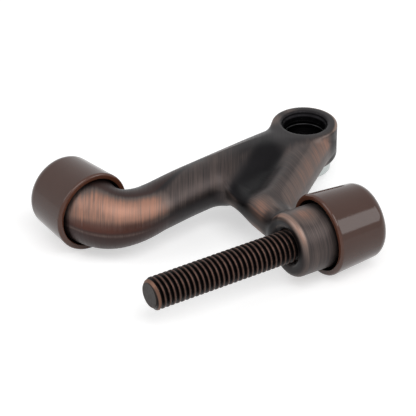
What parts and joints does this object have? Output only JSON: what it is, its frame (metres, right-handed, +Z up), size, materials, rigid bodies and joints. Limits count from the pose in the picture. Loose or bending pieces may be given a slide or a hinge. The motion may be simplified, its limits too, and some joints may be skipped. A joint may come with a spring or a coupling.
{
  "type": "hinge pin door stop",
  "caption": "Cast door stop that hangs on a hinge pin, with a fixed rubber bumper on its arm and a rubber bumper on an adjusting screw.",
  "frame": {"origin": "on the hinge pin's axis, half way up the casting's eye", "axes": "+Z up the hinge pin, +X along the adjusting screw towards its bumper"},
  "size_m": [0.0616, 0.0478, 0.0154],
  "materials": {
    "bronze_casting": "oil-rubbed bronze, brushed",
    "bright_sleeve": "bright zinc",
    "brown_rubber": "glossy",
    "bronze_screw": "oil-rubbed bronze"
  },
  "bodies": {
    "stop": {"body_casting": "bronze_casting", "pin_bushing": "bright_sleeve", "fixed_bumper": "brown_rubber"},
    "bumper": {"adjuster_bumper": "brown_rubber"},
    "screw": {"adjuster_screw": "bronze_screw"}
  },
  "joints": [
    {"name": "bumper_travel", "type": "slide", "parent": "stop", "child": "bumper", "axis": [1, 0, 0], "range_m": [-0.0005, 0.0275]},
    {"name": "screw_spin", "type": "hinge", "parent": "bumper", "child": "screw", "pos_m": [0, -0.0292, 0], "axis": [1, 0, 0], "range_deg": [-180.5, 9900.5]}
  ],
  "couplings": [
    {"joint": "screw_spin", "follows": "bumper_travel", "rad_per_m": 6283.2}
  ]
}
